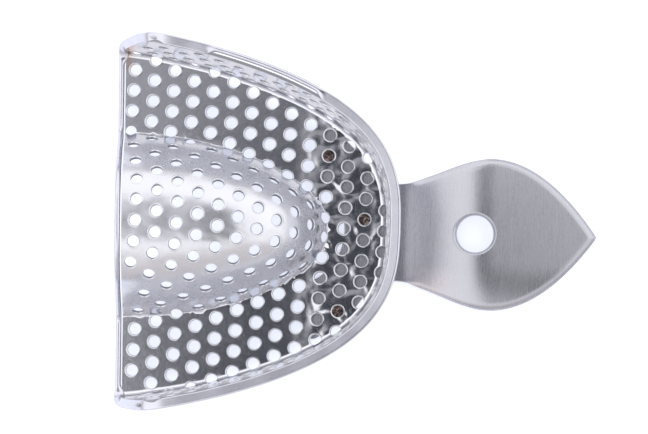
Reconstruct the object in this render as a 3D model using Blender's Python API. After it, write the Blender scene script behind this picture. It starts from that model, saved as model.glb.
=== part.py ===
# Perforated stainless steel upper impression tray: a pressed, punched shell with a wire rim,
# and a pressed handle whose crescent foot is spot welded under the front of the floor.
# Lengths are in millimetres until a mesh is made, where METRES turns them into metres.
# +X runs from the open back edge to the handle, +Z is the side that takes the impression.

import math

import bmesh
import bpy
import numpy as np
from mathutils import Vector
from mathutils.geometry import delaunay_2d_cdt

METRES = 0.001

# The shell's sheet and the arch that its floor follows
SHEET = 0.6
ARCH_LENGTH = 49.9
ARCH_HALF_WIDTH = 32.0
ARCH_POWER = 1.3
ARCH_ROOT = 0.34

# The open back edge, cut a little askew, X = BACK_INSET - BACK_SKEW * Y
BACK_INSET = 0.85
BACK_SKEW = 0.026

# The outer wall, which runs out to nothing at the two back corners
WALL_HEIGHT = 14.0
WALL_ANGLE = math.radians(84.7)
BEND_RADIUS = 1.2
WALL_RISE_LENGTH = 8.0
WALL_RISE_POWER = 0.75
CORNER_REACH = 2.6
OUTLINE_SPACING = 1.6

# The palate dome, and the width of the flat floor between it and the arch
FRONT_TROUGH = 10.5
SIDE_TROUGH = 14.8
DOME_HEIGHT = 14.0
DOME_POWER = 2.7
DOME_TAPER = 0.53
DOME_NOSE_POWER = 6
DOME_FOOT_BLEND = 1.2
DOME_BACK_PULL = 1.5

# Perforations: a staggered grid, a little askew, that the pressing drew towards the dome
HOLE_DIAMETER = 2.1
HOLE_SIDES = 6
HOLE_COLUMN_PITCH = 3.83
HOLE_ROW_PITCH = 3.95
HOLE_GRID_TURN = math.radians(-2.26)
HOLE_GRID_START = (0.92, 4.02)
DRAW_INWARD = 2.02
DRAW_PAST_DOME = 3.6
DRAW_FORWARD = 4.1
HOLE_RIM_MARGIN = 0.95
HOLE_BACK_MARGIN = 0.1

# The rim wire
WIRE_DIAMETER = 1.1
WIRE_CLEARANCE = 0.25

# The handle. Its foot is measured back from the arch's front, and its grip forward of it
HANDLE_SHEET = 1.2
FOOT_CLEARANCE = 0.3
FOOT_INSET = 0.4
FOOT_HORN_DEPTH = 13.0
FOOT_MIDDLE_DEPTH = 6.9
FOOT_NOTCH_RADIUS = 10.9
NECK_HALF_WIDTH = 9.3
NECK_LENGTH = 3.1
HANDLE_REACH = 40.5
GRIP_WIDEST_TO_TIP = 19.7
GRIP_HALF_WIDTH = 14.0
GRIP_TIP_POWER = 2.0
RISE_PAST_NECK = 0.5
RISE_BEND = 2.5
RISE_SLOPE = 0.268
RISE_LENGTH = 10.5
CREST_BEND = 8.0
FALL_SLOPE = 0.07
EDGE_TURN_WIDTH = 1.3
EDGE_TURN_DROP = 0.6
HANGING_HOLE_TO_TIP = 22.6
HANGING_HOLE_DIAMETER = 7.0

# Welds. A spot weld fills the perforation nearest to a place on the foot: how far along
# the arch from the middle of its front, towards +Y, and how far inside the arch
SPOT_WELD_PLACES = {
    "spot_weld_left": (19.7, 4.9),
    "spot_weld_centre": (1.8, 2.6),
    "spot_weld_right": (-18.5, 2.6),
}
SPOT_WELD_CLEARANCE = 0.25
SPOT_WELD_HALF_HEIGHT = 0.25
RIM_TACK_PLACE = 6.8
RIM_TACK_SIZE = (1.4, 0.8, 0.4)
RIM_TACK_CLEARANCE = 0.12

# How finely the surfaces are divided
ARCH_STEP = 0.08
SLOPE_STEP = 0.02
LINE_SPACING = 2.4
GRIP_SPACING = 4.0
OUTLINE_ROOM = 0.7
HOLE_ROOM = 0.3

# What follows from the sizes above. The handle's foot lies on z = 0, and a perforation is a
# polygon with the area of its circle
FLOOR_LEVEL = HANDLE_SHEET + FOOT_CLEARANCE + SHEET / 2
WIRE_RADIUS = WIRE_DIAMETER / 2
BEND_LENGTH = BEND_RADIUS * WALL_ANGLE
DOME_LENGTH = ARCH_LENGTH - FRONT_TROUGH
DOME_HALF_WIDTH = ARCH_HALF_WIDTH - SIDE_TROUGH
DRAW_INWARD_END = DOME_LENGTH + DRAW_PAST_DOME
HOLE_STEP = 2 * math.pi / HOLE_SIDES
HOLE_REACH = HOLE_DIAMETER / 2 * math.sqrt(HOLE_STEP / math.sin(HOLE_STEP))
FOOT_BACK = ARCH_LENGTH - FOOT_HORN_DEPTH
FOOT_NOTCH_CENTRE = ARCH_LENGTH - FOOT_MIDDLE_DEPTH - FOOT_NOTCH_RADIUS
NECK_END = ARCH_LENGTH + NECK_LENGTH
HANDLE_END = ARCH_LENGTH + HANDLE_REACH
GRIP_WIDEST = HANDLE_END - GRIP_WIDEST_TO_TIP
HANGING_HOLE_AT = HANDLE_END - HANGING_HOLE_TO_TIP
RISE_START = NECK_END + RISE_PAST_NECK
CREST_START = RISE_START + RISE_LENGTH


def smooth(value):
    """Eases from 0 to 1 as value does."""
    t = np.clip(value, 0.0, 1.0)
    return t * t * (3.0 - 2.0 * t)


def smooth_area(value):
    """The area under smooth up to value, for a slope that eases in."""
    t = np.clip(value, 0.0, 1.0)
    return t**3 - t**4 / 2 + np.maximum(value - 1.0, 0.0)


def evenly(path, spacing):
    """The same path with points about one spacing apart."""
    path = np.asarray(path, float)
    lengths = np.hypot(*np.diff(path, axis=0).T)
    along = np.concatenate([[0.0], np.cumsum(lengths)])
    count = max(2, int(round(along[-1] / spacing)) + 1)
    stations = np.linspace(0.0, along[-1], count)
    return np.stack([np.interp(stations, along, path[:, k]) for k in range(2)], axis=1)


def rounded(before, corner, after, reach, count=4):
    """Points on a quadratic curve that rounds a corner between two neighbours."""
    corner = np.asarray(corner, float)
    start = corner + reach * unit(np.asarray(before) - corner)
    end = corner + reach * unit(np.asarray(after) - corner)
    t = np.linspace(0.0, 1.0, count)[:, None]
    return (1 - t) ** 2 * start + 2 * t * (1 - t) * corner + t**2 * end


def in_frame(places):
    """Places in metres, measured from the object's origin."""
    return (np.asarray(places) - ORIGIN) * METRES


def unit(vectors):
    """Vectors scaled to length 1."""
    vectors = np.asarray(vectors, float)
    return vectors / np.linalg.norm(vectors, axis=-1, keepdims=True)


# ---- the arch, the line where the flat floor ends and the wall's bend starts

def arch_path(count=1601):
    """The arch from the back edge at +Y round the front to the back edge at -Y."""
    side = np.cos(np.linspace(0.0, math.pi, count))
    reach = (1.0 - np.abs(side) ** (1.0 / ARCH_ROOT)) ** (1.0 / ARCH_POWER)
    return np.stack([ARCH_LENGTH * reach, ARCH_HALF_WIDTH * side], axis=1)


ARCH = evenly(arch_path(), ARCH_STEP)
ARCH_TANGENT = unit(np.gradient(ARCH, axis=0))
ARCH_NORMAL = np.stack([-ARCH_TANGENT[:, 1], ARCH_TANGENT[:, 0]], axis=1)
ARCH_ALONG = np.concatenate([[0.0], np.cumsum(np.hypot(*np.diff(ARCH, axis=0).T))])


def nearest_on_arch(points):
    """For each point: distance outside the arch, foot on it, and the outward normal there."""
    gaps = points[:, None, :] - ARCH[None, :, :]
    nearest = np.argmin((gaps**2).sum(axis=2), axis=1)
    gap = points - ARCH[nearest]
    tangent = ARCH_TANGENT[nearest]
    normal = ARCH_NORMAL[nearest]
    outside = (gap * normal).sum(axis=1)
    foot = ARCH[nearest] + tangent * (gap * tangent).sum(axis=1, keepdims=True)
    return outside, foot, normal


def wall_run_and_rise(outside):
    """The wall's cross-section: round the bend, then straight up at the wall's angle."""
    turned = np.clip(outside / BEND_RADIUS, 0.0, WALL_ANGLE)
    straight = np.maximum(outside - BEND_LENGTH, 0.0)
    run = BEND_RADIUS * np.sin(turned) + straight * math.cos(WALL_ANGLE)
    rise = BEND_RADIUS * (1 - np.cos(turned)) + straight * math.sin(WALL_ANGLE)
    return run, rise


def wall_depth():
    """The width of sheet that makes the bend and the full wall."""
    bend_rise = BEND_RADIUS * (1 - math.cos(WALL_ANGLE))
    return BEND_LENGTH + (WALL_HEIGHT - bend_rise) / math.sin(WALL_ANGLE)


# ---- the dome

def dome_width(x):
    """The half width that the dome's cross-section curve would have at x."""
    share = np.clip(x / DOME_LENGTH, 0.0, 1.2)
    return DOME_HALF_WIDTH * (1.0 - DOME_TAPER * share**2)


def dome_lift(x, y):
    """The vault's height, blended into the flat floor at its foot."""
    nose = np.clip(x / DOME_LENGTH, 0.0, 1.2) ** DOME_NOSE_POWER
    height = DOME_HEIGHT * (1.0 - np.abs(y / dome_width(x)) ** DOME_POWER - nose)
    blend = (height + DOME_FOOT_BLEND) ** 2 / (4 * DOME_FOOT_BLEND)
    inside = height > DOME_FOOT_BLEND
    outside = height < -DOME_FOOT_BLEND
    return np.where(inside, height, np.where(outside, 0.0, blend))


def dome_contour(height, spacing):
    """The line on the floor plan where the vault's formula reaches a height."""
    level = 1.0 - height / DOME_HEIGHT
    turn = np.linspace(0.0, 1.0, 400) ** 3 * math.pi / 2
    x = DOME_LENGTH * (level * np.sin(turn) ** 2) ** (1.0 / DOME_NOSE_POWER)
    y = dome_width(x) * (level * np.cos(turn) ** 2) ** (1.0 / DOME_POWER)
    half = np.stack([x, y], axis=1)
    return evenly(np.concatenate([half, half[-2::-1] * (1, -1)]), spacing)


# ---- the shell: a flat plan that is pressed into shape

def pressed_shell(plan):
    """The mid surface in space for points on the plan. Outside the arch, the plan's
    distance from the arch is a length along the bend and the wall."""
    outside, foot, normal = nearest_on_arch(plan)
    run, rise = wall_run_and_rise(np.maximum(outside, 0.0))
    wall = foot + normal * run[:, None]
    on_wall = (outside > 0.0)[:, None]
    flat = np.where(on_wall, wall, plan)
    height = np.where(outside > 0.0, rise, dome_lift(plan[:, 0], plan[:, 1]))
    return np.column_stack([flat, FLOOR_LEVEL + height])


def back_edge(y):
    """The open back edge, which the dome's drawing pulled forward in the middle."""
    pull = DOME_BACK_PULL * dome_lift(np.zeros_like(y), y) / DOME_HEIGHT
    return np.stack([BACK_INSET - BACK_SKEW * y + pull, y], axis=1)


def shell_side(side):
    """Half the shell's edge on the plan, from the middle of the back edge to the front."""
    back_x = BACK_INSET - side * BACK_SKEW * ARCH_HALF_WIDTH
    along = np.linspace(back_x + CORNER_REACH, ARCH_ALONG[-1] / 2, 200)
    grown = np.clip((along - back_x) / WALL_RISE_LENGTH, 0.0, 1.0)
    depth = wall_depth() * (1.0 - (1.0 - grown) ** 2) ** WALL_RISE_POWER
    foot = np.stack([np.interp(along, ARCH_ALONG, ARCH[:, k]) for k in range(2)], axis=1)
    normal = np.stack([np.interp(along, ARCH_ALONG, ARCH_NORMAL[:, k]) for k in range(2)], axis=1)
    wall = (foot + unit(normal) * depth[:, None]) * (1, side)
    lead = unit(wall[0] - wall[1])
    to_back = BACK_INSET - BACK_SKEW * wall[0][1] - wall[0][0]
    corner = wall[0] + lead * to_back / (lead[0] + BACK_SKEW * lead[1])
    bend = rounded((BACK_INSET, 0.0), corner, wall[0], CORNER_REACH, 12)
    back = back_edge(np.linspace(0.0, bend[0][1], 60)[:-1])
    return evenly(np.concatenate([back, bend, wall]), OUTLINE_SPACING)


def shell_outline():
    """The shell's edge on the plan, from the middle of the back edge by +Y to the front
    and on by -Y."""
    return np.concatenate([shell_side(1), shell_side(-1)[-2:0:-1]])


def draw_share(x, y):
    """How much of the draw towards the dome has happened between the axis and y, taken
    from the length of a parabola of the dome's size."""
    width = dome_width(x)
    steepness = 2 * DOME_HEIGHT / width**2
    nose = np.clip(x / DOME_LENGTH, 0.0, 1.2) ** DOME_NOSE_POWER
    foot = width * np.sqrt(np.clip(1.0 - nose, 1e-4, None))

    def surplus(reach):
        scaled = steepness * reach
        return (reach * np.sqrt(1 + scaled**2) + np.arcsinh(scaled) / steepness) / 2 - reach

    return surplus(np.minimum(np.abs(y), foot)) / surplus(foot)


def hole_centres(outline):
    """Each perforation's place on the plan, after the drawing moved the punched grid."""
    columns = math.ceil((ARCH_LENGTH + wall_depth()) / HOLE_COLUMN_PITCH) + 3
    rows = math.ceil((ARCH_HALF_WIDTH + wall_depth()) / HOLE_ROW_PITCH) + 3
    column, row = np.meshgrid(np.arange(-3, columns), np.arange(-rows, rows), indexing="ij")
    column, row = column.ravel(), row.ravel()
    ahead = column * HOLE_COLUMN_PITCH
    aside = (row + 0.5 * (column % 2)) * HOLE_ROW_PITCH
    cos, sin = math.cos(HOLE_GRID_TURN), math.sin(HOLE_GRID_TURN)
    punched_x = HOLE_GRID_START[0] + ahead * cos - aside * sin
    punched_y = HOLE_GRID_START[1] + ahead * sin + aside * cos
    x, y = punched_x.copy(), punched_y.copy()
    for _ in range(80):
        lift = np.maximum(dome_lift(x, y), 0.0) / DOME_HEIGHT
        pull = DRAW_INWARD * np.clip(1 - x / DRAW_INWARD_END, 0.0, None)
        x += 0.3 * (punched_x + DRAW_FORWARD * lift - x)
        y += 0.3 * (punched_y - np.sign(punched_y) * pull * draw_share(x, y) - y)
    centres = np.stack([x, y], axis=1)
    centres = centres[inside(outline, centres)]
    outside, _, _ = nearest_on_arch(centres)
    margin = np.where(outside > 0.0, HOLE_RIM_MARGIN, HOLE_BACK_MARGIN)
    room = distance_to_loop(outline, centres)
    return centres[room > HOLE_DIAMETER / 2 + margin]


def inside(loop, points):
    """Whether each point lies inside a closed loop."""
    ahead = np.roll(loop, -1, axis=0)
    x, y = points[:, :1], points[:, 1:]
    crosses = (loop[:, 1] > y) != (ahead[:, 1] > y)
    rise = np.where(ahead[:, 1] == loop[:, 1], 1.0, ahead[:, 1] - loop[:, 1])
    meets = loop[:, 0] + (y - loop[:, 1]) * (ahead[:, 0] - loop[:, 0]) / rise
    return (crosses & (x < meets)).sum(axis=1) % 2 == 1


def distance_to_loop(loop, points):
    """The distance from each point to a closed loop."""
    side = np.roll(loop, -1, axis=0) - loop
    gap = points[:, None, :] - loop[None, :, :]
    share = np.clip((gap * side).sum(axis=2) / (side**2).sum(axis=1), 0.0, 1.0)
    return np.sqrt(((gap - share[:, :, None] * side) ** 2).sum(axis=2)).min(axis=1)


def hole_loop(centre):
    """A perforation as a loop on the plan: even on the drawn dome's surface, and even on
    the plan where the blank only bent."""
    turn = (np.arange(HOLE_SIDES) + 0.5) * HOLE_STEP
    circle = HOLE_REACH * np.stack([np.cos(turn), np.sin(turn)])
    if dome_lift(*centre) == 0.0:
        return centre + circle.T
    corners = centre + SLOPE_STEP * np.array([(0, 0), (1, 0), (0, 1)])
    here, along_x, along_y = pressed_shell(corners)
    slope = np.column_stack([along_x - here, along_y - here]) / SLOPE_STEP
    first = unit(slope[:, 0])
    second = unit(np.cross(np.cross(slope[:, 0], slope[:, 1]), first))
    to_plan = np.linalg.pinv(slope) @ np.column_stack([first, second])
    return centre + (to_plan @ circle).T


def normals(surface, plan):
    """Unit normals of a surface given over the plan, by central differences."""
    along_x = surface(plan + (SLOPE_STEP, 0)) - surface(plan - (SLOPE_STEP, 0))
    along_y = surface(plan + (0, SLOPE_STEP)) - surface(plan - (0, SLOPE_STEP))
    return unit(np.cross(along_x, along_y))


def cut_plan(outline, holes, extra):
    """Triangles on the plan that fill the outline and leave its holes open."""
    loops = [outline] + holes
    starts = np.cumsum([0] + [len(loop) for loop in loops])
    edges = []
    for start, loop in zip(starts, loops):
        count = len(loop)
        edges += [(int(start + k), int(start + (k + 1) % count)) for k in range(count)]
    points = [Vector(point) for point in np.concatenate(loops + [extra])]
    verts, _, faces, origins, _, _ = delaunay_2d_cdt(points, edges, [], 0, 1e-5)

    owner = np.full(len(points), -1)
    for index in range(1, len(loops)):
        owner[starts[index] : starts[index + 1]] = index
    plan = np.array([tuple(vert) for vert in verts])
    loop_of = np.array([owner[origin[0]] if origin else -1 for origin in origins])
    faces = np.array([face for face in faces if len(face) == 3])
    in_hole = (loop_of[faces] == loop_of[faces[:, :1]]).all(axis=1) & (loop_of[faces[:, 0]] > 0)
    in_outline = inside(outline, plan[faces].mean(axis=1))
    faces = faces[~in_hole & in_outline]
    return plan, faces


def sheet_mesh(name, surface, outline, holes, extra, thickness):
    """A closed sheet: the cut plan as two skins either side of the surface, joined along
    every edge."""
    plan, faces = cut_plan(outline, holes, extra)
    corner = plan[faces]
    side_a = corner[:, 1] - corner[:, 0]
    side_b = corner[:, 2] - corner[:, 0]
    flipped = side_a[:, 0] * side_b[:, 1] - side_a[:, 1] * side_b[:, 0] < 0
    faces[flipped] = faces[flipped][:, ::-1]
    directed = np.concatenate([faces[:, (0, 1)], faces[:, (1, 2)], faces[:, (2, 0)]])
    known = {(int(a), int(b)) for a, b in directed}
    rims = [(a, b) for a, b in known if (b, a) not in known]
    middle = surface(plan)
    offset = normals(surface, plan) * thickness / 2
    count = len(plan)
    coords = in_frame(np.concatenate([middle + offset, middle - offset]))
    top = [tuple(int(k) for k in face) for face in faces]
    under = [tuple(int(k) + count for k in face[::-1]) for face in faces]
    walls = [(b, a, a + count, b + count) for a, b in sorted(rims)]
    mesh = bpy.data.meshes.new(name)
    mesh.from_pydata([tuple(co) for co in coords], [], top + under + walls)
    mesh.update()
    return tidy(mesh)


def tidy(mesh):
    """Drops loose points and shades the mesh smooth up to its real edges."""
    body = bmesh.new()
    body.from_mesh(mesh)
    loose = [vert for vert in body.verts if not vert.link_faces]
    bmesh.ops.delete(body, geom=loose, context="VERTS")
    body.to_mesh(mesh)
    body.free()
    mesh.shade_smooth()
    mesh.set_sharp_from_angle(angle=math.radians(35))
    return mesh


# ---- the handle

def handle_height(x):
    """The handle's mid surface along its length: flat foot, a rise, then a slight fall."""
    rise = RISE_SLOPE * RISE_BEND * smooth_area((x - RISE_START) / RISE_BEND)
    fall = (RISE_SLOPE + FALL_SLOPE) * CREST_BEND * smooth_area((x - CREST_START) / CREST_BEND)
    return HANDLE_SHEET / 2 + rise - fall


def grip_half_width(x):
    """Half the handle's width beyond the tray: neck, flare, then a leaf-shaped end."""
    flare = smooth((x - NECK_END) / (GRIP_WIDEST - NECK_END))
    widening = NECK_HALF_WIDTH + (GRIP_HALF_WIDTH - NECK_HALF_WIDTH) * flare
    ahead = np.clip((x - GRIP_WIDEST) / (HANDLE_END - GRIP_WIDEST), 0.0, 1.0)
    return widening * (1.0 - ahead**GRIP_TIP_POWER)


def handle_outline():
    """The flat plan of the handle with its crescent foot, from the tip by +Y and back."""
    grip_x = np.linspace(HANDLE_END, NECK_END, 26)
    grip = np.stack([grip_x, grip_half_width(grip_x)], axis=1)
    inset = evenly(ARCH - ARCH_NORMAL * FOOT_INSET, 0.3)
    inset = inset[inset[:, 1] > 0]
    foot_edge = inset[(inset[:, 1] > NECK_HALF_WIDTH) & (inset[:, 0] > FOOT_BACK)][::-1]
    neck_corner, horn_corner = foot_edge[0], foot_edge[-1]
    notch_rise = math.sqrt(FOOT_NOTCH_RADIUS**2 - (FOOT_BACK - FOOT_NOTCH_CENTRE) ** 2)
    inner_corner = np.array((FOOT_BACK, notch_rise))
    start = math.atan2(notch_rise, FOOT_BACK - FOOT_NOTCH_CENTRE)
    turn = np.linspace(start - 0.14, 0.0, 9)
    notch = np.stack([np.cos(turn), np.sin(turn)], axis=1) * FOOT_NOTCH_RADIUS
    notch += (FOOT_NOTCH_CENTRE, 0)
    half = np.concatenate([
        grip,
        rounded(grip[-1], neck_corner, foot_edge[6], 1.6),
        evenly(foot_edge[6:-6], 1.8),
        rounded(foot_edge[-6], horn_corner, inner_corner, 1.4),
        rounded(horn_corner, inner_corner, notch[0], 1.2),
        notch,
    ])
    return np.concatenate([half, half[-2:0:-1] * (1, -1)])


HANDLE_OUTLINE = handle_outline()


def pressed_handle(plan):
    """The handle's mid surface, with the grip's edges turned down."""
    room = distance_to_loop(HANDLE_OUTLINE, plan)
    near_edge = np.clip(1.0 - room / EDGE_TURN_WIDTH, 0.0, 1.0)
    grip_only = smooth((plan[:, 0] - RISE_START) / RISE_BEND - 0.5)
    turned = EDGE_TURN_DROP * near_edge**2 * grip_only
    return np.column_stack([plan, handle_height(plan[:, 0]) - turned])


def handle_bend_points():
    """Points inside the handle that carry its bends and its turned-down edge."""
    across = np.linspace(-1.0, 1.0, 9)[1:-1]
    rise = RISE_START + RISE_BEND * np.array([-0.25, 0.5, 1.0])
    crest = CREST_START + CREST_BEND * np.linspace(0.0, 1.0, 5)
    middle = (rise[-1] + crest[0]) / 2
    beyond = np.arange(crest[-1] + GRIP_SPACING, HANDLE_END - GRIP_SPACING, GRIP_SPACING)
    rows = np.concatenate([rise, [middle], crest, beyond])
    spread = grip_half_width(rows)[:, None] - EDGE_TURN_WIDTH
    grid_x = np.repeat(rows[:, None], len(across), axis=1)
    grid = np.stack([grid_x.ravel(), (spread * across).ravel()], axis=1)
    x = np.linspace(NECK_END, HANDLE_END - 2 * EDGE_TURN_WIDTH, 22)
    edge = np.stack([x, grip_half_width(x) - EDGE_TURN_WIDTH], axis=1)
    points = np.concatenate([grid, edge, edge * (1, -1)])
    points = points[distance_to_loop(HANDLE_OUTLINE, points) > 0.6 * EDGE_TURN_WIDTH]
    from_hole = np.hypot(points[:, 0] - HANGING_HOLE_AT, points[:, 1])
    return points[from_hole > HANGING_HOLE_DIAMETER / 2 + 0.8]


# ---- the pieces

def add_object(name, data, material):
    """Links an object that carries one of the pieces."""
    piece = bpy.data.objects.new(name, data)
    data.materials.append(material)
    bpy.context.scene.collection.objects.link(piece)
    return piece


def steel(name, colour, roughness):
    """A polished or brushed steel."""
    material = bpy.data.materials.new(name)
    material.use_nodes = True
    shader = material.node_tree.nodes["Principled BSDF"]
    shader.inputs["Base Color"].default_value = (*colour, 1.0)
    shader.inputs["Metallic"].default_value = 1.0
    shader.inputs["Roughness"].default_value = roughness
    return material


def make_shell():
    outline = shell_outline()
    centres = hole_centres(outline)
    holes = [hole_loop(centre) for centre in centres]
    _, foot, normal = nearest_on_arch(evenly(ARCH, LINE_SPACING))
    lines = [foot + normal * distance for distance in (0.0, BEND_LENGTH / 2, BEND_LENGTH)]
    foot_heights = (-DOME_FOOT_BLEND, 0.0, DOME_FOOT_BLEND)
    lines += [dome_contour(height, LINE_SPACING) for height in foot_heights]
    extra = np.concatenate(lines)
    extra = extra[inside(outline, extra)]
    extra = extra[distance_to_loop(outline, extra) > OUTLINE_ROOM]
    to_hole = np.linalg.norm(extra[:, None, :] - centres[None, :, :], axis=2).min(axis=1)
    extra = extra[to_hole > HOLE_REACH + HOLE_ROOM]
    mesh = sheet_mesh("perforated_shell", pressed_shell, outline, holes, extra, SHEET)
    return add_object("perforated_shell", mesh, steel("pressed_steel", (0.62, 0.63, 0.66), 0.2))


def wire_path():
    """The rim wire's centre line: the shell's edge, moved outward to lie beside it."""
    outline = shell_outline()
    outside, _, _ = nearest_on_arch(outline)
    upright = smooth(outside / BEND_LENGTH)
    edge = pressed_shell(outline)
    ahead = np.roll(edge, -1, axis=0) - np.roll(edge, 1, axis=0)
    outward = unit(np.stack([-ahead[:, 1], ahead[:, 0]], axis=1))
    offset = WIRE_RADIUS + WIRE_CLEARANCE + SHEET / 2 * upright
    path = edge.copy()
    path[:, :2] += outward * offset[:, None]
    path[:, 2] -= (WIRE_RADIUS - SHEET / 2) * upright
    return path


# The origin is under the middle of the whole object's length
BACK_END = wire_path()[:, 0].min() - WIRE_RADIUS
ORIGIN = np.array(((BACK_END + HANDLE_END) / 2, 0.0, 0.0))


def make_wire():
    curve = bpy.data.curves.new("rim_wire", "CURVE")
    curve.dimensions = "3D"
    curve.bevel_depth = WIRE_RADIUS * METRES
    curve.bevel_resolution = 2
    path = in_frame(wire_path())
    spline = curve.splines.new("POLY")
    spline.points.add(len(path) - 1)
    for point, place in zip(spline.points, path):
        point.co = (*place, 1.0)
    spline.use_cyclic_u = True
    return add_object("rim_wire", curve, steel("wire_steel", (0.68, 0.68, 0.71), 0.22))


def make_handle():
    turn = np.arange(20) * 2 * math.pi / 20
    hole = HANGING_HOLE_DIAMETER / 2 * np.stack([np.cos(turn), np.sin(turn)], axis=1)
    hole += (HANGING_HOLE_AT, 0)
    mesh = sheet_mesh(
        "handle", pressed_handle, HANDLE_OUTLINE, [hole], handle_bend_points(), HANDLE_SHEET
    )
    return add_object("handle", mesh, steel("brushed_steel", (0.55, 0.55, 0.58), 0.32))


def bead(name, place, size, material, along=(1.0, 0.0, 0.0)):
    """A small lens-shaped drop of weld metal, its length turned along a seam."""
    body = bmesh.new()
    bmesh.ops.create_uvsphere(body, u_segments=10, v_segments=6, radius=0.5 * METRES)
    bmesh.ops.scale(body, vec=size, verts=body.verts)
    mesh = bpy.data.meshes.new(name)
    body.to_mesh(mesh)
    body.free()
    mesh.shade_smooth()
    piece = add_object(name, mesh, material)
    piece.location = in_frame(place)
    piece.rotation_mode = "QUATERNION"
    piece.rotation_quaternion = Vector(along).to_track_quat("X", "Z")
    return piece


def make_spot_welds():
    """Nuggets that fill the perforations where the floor is welded to the foot."""
    centres = hole_centres(shell_outline())
    burnt = steel("burnt_weld", (0.12, 0.1, 0.09), 0.5)
    inner = 2 * (HOLE_REACH * math.cos(HOLE_STEP / 2) - SPOT_WELD_CLEARANCE)
    for name, (along, depth) in SPOT_WELD_PLACES.items():
        station = np.argmin(np.abs(ARCH_ALONG[-1] / 2 - along - ARCH_ALONG))
        wanted = ARCH[station] - ARCH_NORMAL[station] * depth
        chosen = centres[np.argmin(np.hypot(*(centres - wanted).T))]
        size = (inner, inner, 2 * SPOT_WELD_HALF_HEIGHT)
        bead(name, (*chosen, FLOOR_LEVEL), size, burnt)


def make_rim_tacks():
    """Tacks over the seam between the wire and the wall's edge, near both back corners."""
    material = steel("tack_weld", (0.3, 0.3, 0.32), 0.4)
    edge = pressed_shell(shell_outline())
    path = wire_path()
    for name, side in (("rim_tack_left", 1), ("rim_tack_right", -1)):
        candidates = np.where(side * edge[:, 1] > DOME_HALF_WIDTH)[0]
        chosen = candidates[np.argmin(np.abs(edge[candidates, 0] - RIM_TACK_PLACE))]
        along = unit(path[chosen + side] - path[chosen - side])
        above = unit(np.array((0.0, 0.0, 1.0)) - along * along[2])
        middle = (edge[chosen] + path[chosen]) / 2
        middle[2] = path[chosen, 2]
        lifted = middle + above * (WIRE_RADIUS + RIM_TACK_SIZE[2] / 2 + RIM_TACK_CLEARANCE)
        bead(name, lifted, RIM_TACK_SIZE, material, along)


def clear_scene():
    for existing in list(bpy.data.objects):
        bpy.data.objects.remove(existing, do_unlink=True)


clear_scene()
make_shell()
make_wire()
make_handle()
make_spot_welds()
make_rim_tacks()
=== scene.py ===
import itertools
import math

import bpy
import numpy as np
from mathutils import Matrix, Vector
from mathutils.geometry import delaunay_2d_cdt


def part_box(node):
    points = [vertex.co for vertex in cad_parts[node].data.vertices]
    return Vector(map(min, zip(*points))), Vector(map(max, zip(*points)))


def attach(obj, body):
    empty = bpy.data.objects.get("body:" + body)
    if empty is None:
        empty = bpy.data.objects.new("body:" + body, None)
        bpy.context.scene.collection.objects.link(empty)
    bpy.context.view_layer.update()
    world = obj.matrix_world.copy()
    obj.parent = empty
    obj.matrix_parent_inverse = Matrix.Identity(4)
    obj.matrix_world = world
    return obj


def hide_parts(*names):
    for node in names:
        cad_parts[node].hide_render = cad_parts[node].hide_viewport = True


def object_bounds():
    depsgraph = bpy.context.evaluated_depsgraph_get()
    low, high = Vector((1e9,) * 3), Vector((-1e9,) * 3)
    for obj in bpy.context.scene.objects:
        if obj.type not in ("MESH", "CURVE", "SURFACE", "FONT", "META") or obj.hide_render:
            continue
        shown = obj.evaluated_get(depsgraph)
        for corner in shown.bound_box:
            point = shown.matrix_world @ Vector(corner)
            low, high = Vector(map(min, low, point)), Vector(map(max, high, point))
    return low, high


# Perforated impression tray. Lengths are in millimetres from the tray's open back edge, +X to
# the handle and +Z up, and a piece's points turn into metres of the frame when its mesh is made.

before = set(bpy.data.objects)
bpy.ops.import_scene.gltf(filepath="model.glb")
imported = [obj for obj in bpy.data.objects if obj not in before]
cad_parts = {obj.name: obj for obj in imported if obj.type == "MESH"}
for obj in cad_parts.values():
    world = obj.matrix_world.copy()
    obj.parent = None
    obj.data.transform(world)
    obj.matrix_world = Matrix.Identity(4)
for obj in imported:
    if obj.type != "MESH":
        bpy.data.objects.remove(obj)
cadLow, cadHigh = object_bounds()
millimetre = 0.001
slopeStep = 0.02           # how far apart two heights are compared for a slope, mm

sheet = {"thickness": 0.6}
arch = {
    "length": 49.9,
    "halfWidth": 32.0,
    "power": 1.3,
    "root": 0.34,
    "samples": 2401,       # before they are spread evenly, one each step
    "step": 0.08,
}
wall = {
    "height": 14.0,
    "angle": math.radians(84.7),
    "bendRadius": 1.2,
    "riseLength": 8.0,     # over which the wall grows from nothing at a back corner
    "risePower": 0.75,
    "cornerReach": 2.6,
    "backInset": 0.85,     # the back edge is a little askew, X = backInset - backSkew Y
    "backSkew": 0.026,
}
dome = {
    "length": 39.4,
    "halfWidth": 17.2,
    "height": 14.0,
    "power": 2.7,          # 2 would be a parabola; more is flatter on top and steeper beside
    "taper": 0.53,         # how much the vault narrows towards its nose
    "nosePower": 6,
    "footBlend": 1.2,
    "backPull": 1.5,       # how far the drawing pulled the back edge forward
    "lines": (-1.15, -0.7, -0.2, 0.4, 1.2, 2.2),    # heights where its foot gets a row of points
    "lineSpacing": 0.7,
}

handleReach = 40.5         # from the arch's front to the handle's tip
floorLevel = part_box("perforated_shell")[0].z / millimetre + sheet["thickness"] / 2
handleTip = arch["length"] + handleReach
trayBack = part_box("handle")[1].x / millimetre - handleTip
bendLength = wall["bendRadius"] * wall["angle"]
print("frame loaded, the arch starts at", round(trayBack, 3), "mm")


# shapes that several pieces share

def ease(value):    # 0 to 1 with a flat start and end: 3t^2 - 2t^3
    t = np.clip(value, 0.0, 1.0)
    return t * t * (3.0 - 2.0 * t)


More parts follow.
